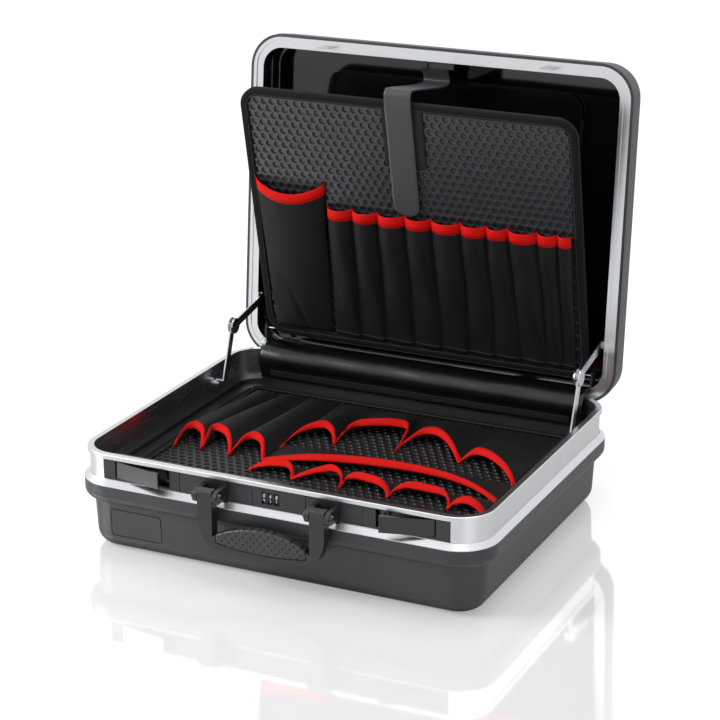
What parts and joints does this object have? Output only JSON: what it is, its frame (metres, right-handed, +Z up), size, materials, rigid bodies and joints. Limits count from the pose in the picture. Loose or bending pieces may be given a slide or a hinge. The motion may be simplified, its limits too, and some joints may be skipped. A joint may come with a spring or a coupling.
{
  "type": "tool case",
  "caption": "Hinged hard tool case with aluminium frames, latches, code lock, folding handle and pocketed tool boards in the lid and the base",
  "frame": {"origin": "On the floor, at the middle of the base's flat underside.", "axes": "+Z up, +X to the right as seen from the handle's side, +Y to the hinges at the back."},
  "size_m": [0.494, 0.5033, 0.502],
  "materials": {
    "abs_shell": "fine woven grain",
    "aluminium": "brushed and anodised",
    "black_plastic": "smooth satin",
    "lid_lining": "glossy",
    "lock_plate": "satin grey",
    "zinc": "plated",
    "black_metal": "black",
    "steel": "satin",
    "vinyl": "soft satin",
    "board": "perforated",
    "cloth": "woven",
    "binding": "woven tape",
    "wheel": "black",
    "grip": "patterned"
  },
  "bodies": {
    "base": {"base_shell": "abs_shell", "base_frame": "aluminium", "base_ledge": "black_plastic", "latch_plates": "lock_plate", "handle_plates": "lock_plate", "code_plate": "lock_plate", "lock_housings": "black_plastic", "latch_pins": "steel", "code_shaft": "steel", "handle_brackets": "black_plastic", "handle_pins": "black_metal", "base_hinge_leaves": "steel", "base_hinge_rivets": "steel", "hinge_pins": "steel", "base_stay_pins": "zinc", "base_board_pins": "steel"},
    "lid": {"lid_shell": "abs_shell", "lid_frame": "aluminium", "lid_strikes": "steel", "lid_hinge_leaves": "steel", "lid_hinge_rivets": "steel", "lid_liner": "lid_lining", "document_pocket": "lid_lining", "lid_stay_pins": "zinc", "lid_board_brackets": "black_plastic", "lid_board_pins": "steel", "strap_clips": "steel", "hinge_cover": "vinyl", "strap_span": "vinyl"},
    "lid_board": {"lid_board": "board", "lid_board_edging": "vinyl", "lid_large_pocket": "cloth", "lid_small_pockets": "cloth", "lid_pocket_bindings": "binding", "lid_strap": "vinyl", "strap_patch": "vinyl"},
    "base_board": {"base_board": "board", "base_board_edging": "vinyl", "base_left_pockets": "cloth", "base_rear_pockets": "cloth", "base_middle_pocket": "cloth", "base_front_pockets": "cloth", "base_pocket_bindings": "binding"},
    "handle": {"handle_frame": "black_plastic", "handle_grip": "grip"},
    "left_latch": {"left_latch_lever": "black_metal"},
    "right_latch": {"right_latch_lever": "black_metal"},
    "left_bolt": {"left_latch_bolt": "zinc"},
    "right_bolt": {"right_latch_bolt": "zinc"},
    "left_wheel": {"code_wheel_left": "wheel"},
    "middle_wheel": {"code_wheel_middle": "wheel"},
    "right_wheel": {"code_wheel_right": "wheel"},
    "left_lower_stay": {"left_lower_link": "black_metal", "left_elbow_rivet": "black_metal"},
    "left_upper_stay": {"left_upper_link": "black_metal"},
    "right_lower_stay": {"right_lower_link": "steel", "right_elbow_rivet": "steel"},
    "right_upper_stay": {"right_upper_link": "steel"}
  },
  "joints": [
    {"name": "lid_hinge", "type": "hinge", "parent": "base", "child": "lid", "pos_m": [0, 0.196, 0.1088], "axis": [1, 0, 0], "range_deg": [0, 95], "deforming": ["hinge_cover"]},
    {"name": "lid_board_hinge", "type": "hinge", "parent": "lid", "child": "lid_board", "pos_m": [0, 0.20954, 0.13829], "axis": [1, 0, 0], "range_deg": [-17, 0], "deforming": ["strap_span"]},
    {"name": "base_board_hinge", "type": "hinge", "parent": "base", "child": "base_board", "pos_m": [0, 0.162, 0.0735], "axis": [1, 0, 0], "range_deg": [-60, 0]},
    {"name": "handle_hinge", "type": "hinge", "parent": "base", "child": "handle", "pos_m": [0, -0.2145, 0.097], "axis": [1, 0, 0], "range_deg": [-100, 0]},
    {"name": "left_latch_hinge", "type": "hinge", "parent": "base", "child": "left_latch", "pos_m": [-0.1865, -0.1915, 0.099], "axis": [0, 0, 1], "range_deg": [-30, 11]},
    {"name": "right_latch_hinge", "type": "hinge", "parent": "base", "child": "right_latch", "pos_m": [0.1865, -0.1915, 0.099], "axis": [0, 0, -1], "range_deg": [-30, 15]},
    {"name": "left_bolt_slide", "type": "slide", "parent": "base", "child": "left_bolt", "axis": [-1, 0, 0], "range_m": [-0.00682, 0.0025]},
    {"name": "right_bolt_slide", "type": "slide", "parent": "base", "child": "right_bolt", "axis": [1, 0, 0], "range_m": [-0.005, 0.0025]},
    {"name": "left_wheel_turn", "type": "hinge", "parent": "base", "child": "left_wheel", "pos_m": [0, -0.1878, 0.098], "axis": [1, 0, 0], "continuous": true},
    {"name": "middle_wheel_turn", "type": "hinge", "parent": "base", "child": "middle_wheel", "pos_m": [0, -0.1878, 0.098], "axis": [1, 0, 0], "continuous": true},
    {"name": "right_wheel_turn", "type": "hinge", "parent": "base", "child": "right_wheel", "pos_m": [0, -0.1878, 0.098], "axis": [1, 0, 0], "continuous": true},
    {"name": "left_stay_foot", "type": "hinge", "parent": "base", "child": "left_lower_stay", "pos_m": [-0.2326, 0.1132, 0.0926], "axis": [1, 0, 0], "range_deg": [0, 95]},
    {"name": "left_stay_elbow", "type": "hinge", "parent": "left_lower_stay", "child": "left_upper_stay", "pos_m": [-0.222, 0.13771, 0.16052], "axis": [1, 0, 0], "range_deg": [-95, 0]},
    {"name": "right_stay_foot", "type": "hinge", "parent": "base", "child": "right_lower_stay", "pos_m": [0.2326, 0.1132, 0.0926], "axis": [1, 0, 0], "range_deg": [0, 95]},
    {"name": "right_stay_elbow", "type": "hinge", "parent": "right_lower_stay", "child": "right_upper_stay", "pos_m": [0.222, 0.13771, 0.16052], "axis": [1, 0, 0], "range_deg": [-95, 0]}
  ],
  "couplings": [
    {"joint": "lid_board_hinge", "follows": "lid_hinge", "ratio": -0.17895},
    {"joint": "left_bolt_slide", "follows": "left_latch_hinge", "m_per_rad": 0.013022},
    {"joint": "right_bolt_slide", "follows": "right_latch_hinge", "m_per_rad": 0.0095493},
    {"joint": "left_stay_foot", "follows": "lid_hinge", "ratio": 1},
    {"joint": "left_stay_elbow", "follows": "lid_hinge", "ratio": -1},
    {"joint": "right_stay_foot", "follows": "lid_hinge", "ratio": 1},
    {"joint": "right_stay_elbow", "follows": "lid_hinge", "ratio": -1}
  ]
}
